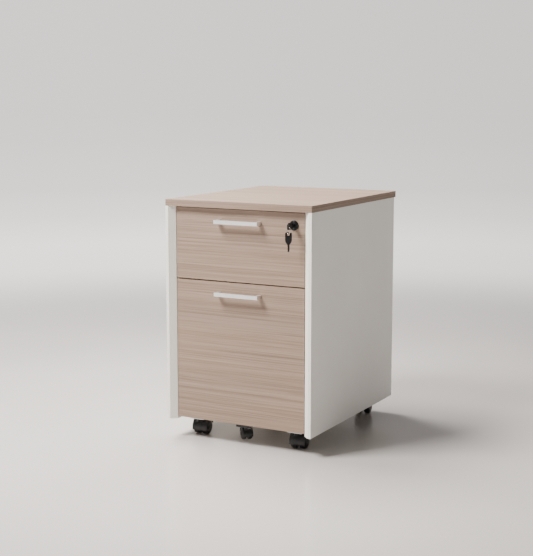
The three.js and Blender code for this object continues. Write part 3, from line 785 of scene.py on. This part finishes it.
def build_caster(name):
    """One twin-wheel caster: rounded plate with screws, swivelling hood, two domed wheels."""
    turn = JOINTS[f"{name}_caster_turn"]
    stem = Vector(turn["pos_m"])
    axle = Vector(JOINTS[f"{name}_caster_left_wheel_roll"]["pos_m"])
    behind = Vector((axle.x - stem.x, axle.y - stem.y, 0))
    trail = behind.length
    behind.normalize()
    side = behind.cross(Vector((0, 0, 1)))
    at_axle = basis(side, behind, (0, 0, 1), axle)
    sizes = FIFTH_CASTER if name == "fifth" else CORNER_CASTER
    wheel_low, wheel_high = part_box(f"{name}_caster_left_wheel")
    radius = (wheel_high.z - wheel_low.z) / 2
    old_housing = f"{name}_caster_housing"
    housing = caster_housing(sizes, radius, trail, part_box(old_housing)[1].z - axle.z)
    piece(f"{name}_caster_hood", housing, NYLON, f"{name}_caster_swivel", old_housing, matrix=at_axle)

    inner_face = sizes["web"] / 2 + WHEEL_GAP
    disc = lathe(wheel_profile(radius, sizes["width"] / 2 - inner_face, WHEEL_BORE), 72)
    shift = Matrix.Translation((inner_face, 0, 0))
    for hand in HANDS:
        # Where the CAD wheel's middle lies tells which side of the web it is on.
        wheel = f"{name}_caster_{hand}_wheel"
        low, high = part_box(wheel)
        toward = ((low + high) / 2 - axle).dot(side)
        flip = Matrix.Identity(4) if toward > 0 else Matrix.Rotation(math.pi, 4, "Z")
        on_axle = at_axle @ flip @ shift
        piece(f"{wheel}_detailed", disc.copy(), TREAD, wheel, wheel, matrix=on_axle, angle=28.0)

    old_plate = f"{name}_caster_plate"
    plate_low, plate_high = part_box(old_plate)
    mounting = caster_mounting(plate_low, plate_high, sizes["neck"])
    middle = Matrix.Translation((plate_low + plate_high) / 2)
    piece(f"{name}_caster_mounting", mounting, ZINC, turn["parent"], old_plate, matrix=middle)


for caster in CASTERS:
    build_caster(caster)

# ------------------------------------------------------------------ runners and fastenings


BALL_COUNT = 14
BALL_RADIUS = 0.0014
BALL_PITCH = 0.011
FIRST_BALL = 0.03  # behind the runner's front end
BALL_GAP = 0.0016  # from the runner's edge to the middle of a ball
BALL_INSET = 0.0022  # from the runner's outer face to the middle of a ball


def ball_row(level, hand):
    """Two rows of steel balls, above and below a middle runner."""
    low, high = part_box(f"{level}_{hand}_middle_runner")
    sign = 1 if hand == "right" else -1
    outer_face = high.x if sign > 0 else -low.x
    bm = bmesh.new()
    for row_z in (low.z - BALL_GAP, high.z + BALL_GAP):
        for i in range(BALL_COUNT):
            y = low.y + FIRST_BALL + i * BALL_PITCH
            place = Matrix.Translation((sign * (outer_face - BALL_INSET), y, row_z))
            bmesh.ops.create_icosphere(bm, subdivisions=2, radius=BALL_RADIUS, matrix=place)
    mesh = bpy.data.meshes.new("balls")
    bm.to_mesh(mesh)
    bm.free()
    piece(f"{level}_{hand}_ball_row", mesh, ZINC, f"{level}_middle_runners", angle=80)


for level in LEVELS:
    for hand in HANDS:
        ball_row(level, hand)

PAN_SCREW = screw(0.0042, 0.002)
FLAT_SCREW = screw(0.0032, 0.0007)
HANDLE_SCREW_INSET = 0.004
LEAF_LENGTH = 0.022
LEAF_HALF = 0.008
LEAF_HOLE = 0.014  # from the corner to the screw
LEAF_MIDDLE = 0.0008  # from the board to the middle of the leaf's thickness
LEAF_FACE = 0.0015  # from the board to the leaf's outer face
FIRST_RUNNER_SCREW = 0.02
RUNNER_SCREWS = (0.0, 0.128, 0.256)
RUNNER_WEB = 0.0012


def handle_screws(level):
    """The two screws that hold a handle from inside the drawer."""
    handle_low, handle_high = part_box(f"{level}_handle")
    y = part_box(f"{level}_drawer_front")[1].y
    z = (handle_low.z + handle_high.z) / 2
    places = (handle_low.x + HANDLE_SCREW_INSET, handle_high.x - HANDLE_SCREW_INSET)
    heads = [moved(PAN_SCREW, facing((0, 1, 0), (x, y, z))) for x in places]
    piece(f"{level}_handle_screws", joined(*heads), ZINC, f"{level}_drawer")


def corner_plates(level):
    """Corner plates and screws that tie the sides of the box to its front."""
    face_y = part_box(f"{level}_drawer_front")[1].y
    box_low, box_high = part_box(f"{level}_drawer_left_side")
    inner = -box_high.x
    outline = rounded(-0.001, LEAF_LENGTH, -LEAF_HALF, LEAF_HALF, 0.003)
    leaf = plate([outline, circle(0.0022, 16, LEAF_HOLE, 0.0)], 0.0014, 0.0003)
    seat_y = face_y + LEAF_FACE
    corners = []
    for sign in (-1, 1):
        seat_x = sign * (inner - LEAF_FACE)
        for z in (box_low.z + 0.03, box_high.z - 0.02):
            on_side = basis((0, 1, 0), (0, 0, 1), (sign, 0, 0), (sign * (inner - LEAF_MIDDLE), seat_y, z))
            on_front = basis((-sign, 0, 0), (0, 0, 1), (0, 1, 0), (seat_x, face_y + LEAF_MIDDLE, z))
            to_side = facing((-sign, 0, 0), (seat_x, seat_y + LEAF_HOLE, z))
            to_front = facing((0, 1, 0), (sign * (inner - LEAF_FACE - LEAF_HOLE), seat_y, z))
            corners += [moved(leaf, on_side), moved(leaf, on_front)]
            corners += [moved(PAN_SCREW, to_side), moved(PAN_SCREW, to_front)]
    piece(f"{level}_corner_plates", joined(*corners), ZINC, f"{level}_drawer")


def runner_screws(level, hand):
    """Screws through a cabinet runner into its side panel."""
    low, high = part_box(f"{level}_{hand}_cabinet_runner")
    sign = 1 if hand == "right" else -1
    x = (high.x if sign > 0 else low.x) - sign * RUNNER_WEB
    z = (low.z + high.z) / 2
    places = [(x, low.y + FIRST_RUNNER_SCREW + step, z) for step in RUNNER_SCREWS]
    heads = [moved(FLAT_SCREW, facing((-sign, 0, 0), place)) for place in places]
    piece(f"{level}_{hand}_runner_screws", joined(*heads), ZINC, "cabinet")


for level in LEVELS:
    handle_screws(level)
    corner_plates(level)
    for hand in HANDS:
        runner_screws(level, hand)

bracket_low, bracket_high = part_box("fifth_caster_bracket")
bracket_places = [
    (x, bracket_low.y + 0.0025, bracket_high.z - 0.008)
    for x in (bracket_low.x + 0.01, bracket_high.x - 0.01)
]
bracket_heads = [moved(FLAT_SCREW, facing((0, 1, 0), place)) for place in bracket_places]
piece("fifth_caster_bracket_screws", joined(*bracket_heads), ZINC, "lower_drawer")

# ------------------------------------------------------------------ stage, light and camera

SUBJECT = Vector((0, 0, 0.3))


def stage_plane(name, size, material):
    """A level plane through the origin that belongs to the stage."""
    bm = bmesh.new()
    bmesh.ops.create_grid(bm, x_segments=8, y_segments=8, size=size)
    mesh = mesh_of(bm)
    mesh.materials.append(material)
    obj = bpy.data.objects.new(name, mesh)
    bpy.context.scene.collection.objects.link(obj)


# The studio is paler on the left and low down. Further out the floor glows in the same tone: an emission,
# not a lamp, that paints a lit backdrop, with a painted brighter band a few metres away.
STUDIO_DIM = (0.50, 0.485, 0.475)
STUDIO_PALE = (1.30, 1.235, 1.20)
STUDIO_ABOVE = (0.34, 0.34, 0.345)
EVEN = (1.0, 1.0, 1.0)
SIDEWAYS = (-0.6, 0.8)  # the X of a direction, from the pale side to the dim one
UPWARDS = (0.08, 0.2)  # the Z of a direction, from the walls to the darker part above


def studio_tone(tree, vector):
    """The studio's tone in a direction: pale towards -X, dimmer towards +X and overhead."""

    def blend(value, limits, first, last):
        spread = tree.nodes.new("ShaderNodeMapRange")
        spread.inputs["From Min"].default_value = limits[0]
        spread.inputs["From Max"].default_value = limits[1]
        ramp = tree.nodes.new("ShaderNodeValToRGB")
        tree.links.new(value, spread.inputs["Value"])
        tree.links.new(spread.outputs["Result"], ramp.inputs["Fac"])
        for element, color in zip(ramp.color_ramp.elements, (first, last)):
            element.color = (*color, 1)
        return ramp.outputs["Color"]

    part = tree.nodes.new("ShaderNodeSeparateXYZ")
    tree.links.new(vector, part.inputs["Vector"])
    product = tree.nodes.new("ShaderNodeMix")
    product.data_type = "RGBA"
    product.blend_type = "MULTIPLY"
    product.inputs[MIX_FACTOR].default_value = 1.0
    across = blend(part.outputs["X"], SIDEWAYS, STUDIO_PALE, STUDIO_DIM)
    upwards = blend(part.outputs["Z"], UPWARDS, EVEN, STUDIO_ABOVE)
    tree.links.new(across, product.inputs[COLOR_A])
    tree.links.new(upwards, product.inputs[COLOR_B])
    return product.outputs[COLOR_RESULT]


FLOOR_REACH = 40.0


def floor_material():
    """A pale satin floor near the cabinet that fades into the studio's tone with distance: further out it
    is an emission that paints a lit backdrop, brightest a few metres away.
    """
    m = Nodes("studio_floor", (0.62, 0.61, 0.595), 0.2)
    cloud = m.noise((1.1, 1.1, 1.1), detail=3.0)
    m.color(m.ramp(cloud, [(0.3, (0.53, 0.50, 0.475)), (0.7, (0.565, 0.535, 0.51))]))
    m.roughness(cloud, 0.16, 0.24)
    place = m.add("ShaderNodeNewGeometry").outputs["Position"]
    near = m.add("ShaderNodeVectorMath", operation="SCALE")
    near.inputs["Scale"].default_value = 1 / FLOOR_REACH
    m.link(place, near.inputs[0])
    reach = m.add("ShaderNodeVectorMath", operation="LENGTH")
    m.link(near.outputs["Vector"], reach.inputs[0])
    away = m.add("ShaderNodeVectorMath", operation="NORMALIZE")
    m.link(place, away.inputs[0])
    # Painted light: the glow rises to its brightest a few metres out and dims beyond, like a backdrop lit
    # near the cabinet.
    painted_backdrop_glow = m.ramp(
        reach.outputs["Value"],
        [
            (0.03, (0.78, 0.77, 0.765)),
            (0.05, (1.0, 0.99, 0.985)),
            (0.075, (1.55, 1.53, 1.52)),
            (0.10, (1.62, 1.60, 1.59)),
            (0.14, (1.32, 1.31, 1.30)),
            (0.2, (1.12, 1.12, 1.12)),
            (0.45, (1.03, 1.03, 1.03)),
            (1.0, (1.0, 1.0, 1.0)),
        ],
    )
    tone = m.mix(1.0, studio_tone(m.tree, away.outputs["Vector"]), painted_backdrop_glow, "MULTIPLY")
    emission = m.add("ShaderNodeEmission")
    m.link(tone, emission.inputs["Color"])
    # Where the floor turns from a lit surface into the glowing backdrop of painted light.
    glow_mask = m.ramp(reach.outputs["Value"], [(0.02, (0.0, 0.0, 0.0)), (0.065, (1.0, 1.0, 1.0))])
    blend = m.add("ShaderNodeMixShader")
    m.link(glow_mask, blend.inputs["Fac"])
    m.link(m.shader.outputs["BSDF"], blend.inputs[1])
    m.link(emission.outputs["Emission"], blend.inputs[2])
    m.link(blend.outputs["Shader"], m.tree.nodes["Material Output"].inputs["Surface"])
    return m.material


stage_plane("studio_floor", FLOOR_REACH, floor_material())

world = bpy.data.worlds.new("studio")
world.use_nodes = True
direction = world.node_tree.nodes.new("ShaderNodeTexCoord").outputs["Generated"]
background = world.node_tree.nodes["Background"]
world.node_tree.links.new(studio_tone(world.node_tree, direction), background.inputs["Color"])
background.inputs["Strength"].default_value = 1.0
bpy.context.scene.world = world


def area_light(name, location, size, energy, color):
    """A square lamp that faces the middle of the cabinet."""
    light = bpy.data.lights.new(name, "AREA")
    light.shape = "RECTANGLE"
    light.size = light.size_y = size
    light.energy = energy
    light.color = color
    obj = bpy.data.objects.new(name, light)
    obj.location = location
    obj.rotation_euler = (SUBJECT - Vector(location)).to_track_quat("-Z", "Y").to_euler()
    bpy.context.scene.collection.objects.link(obj)


area_light("key", (-0.95, -1.35, 2.25), 0.9, 158.0, (1.0, 0.965, 0.935))
area_light("left", (-1.3, 0.35, 2.7), 1.5, 195.0, (1.0, 0.97, 0.945))

CAMERA_AT = (1.46214, -2.78943, 0.86129)
CAMERA_LENS = 80.38
CAMERA_SENSOR = 36.0
CAMERA_AZIMUTH = math.radians(28.428)
CAMERA_PITCH = math.radians(8.564)
camera_data = bpy.data.cameras.new("camera")
camera_data.sensor_width = CAMERA_SENSOR
camera_data.lens = CAMERA_LENS
camera = bpy.data.objects.new("camera", camera_data)
camera.location = CAMERA_AT
camera.rotation_euler = (math.pi / 2 - CAMERA_PITCH, 0, CAMERA_AZIMUTH)
bpy.context.scene.collection.objects.link(camera)
bpy.context.scene.camera = camera
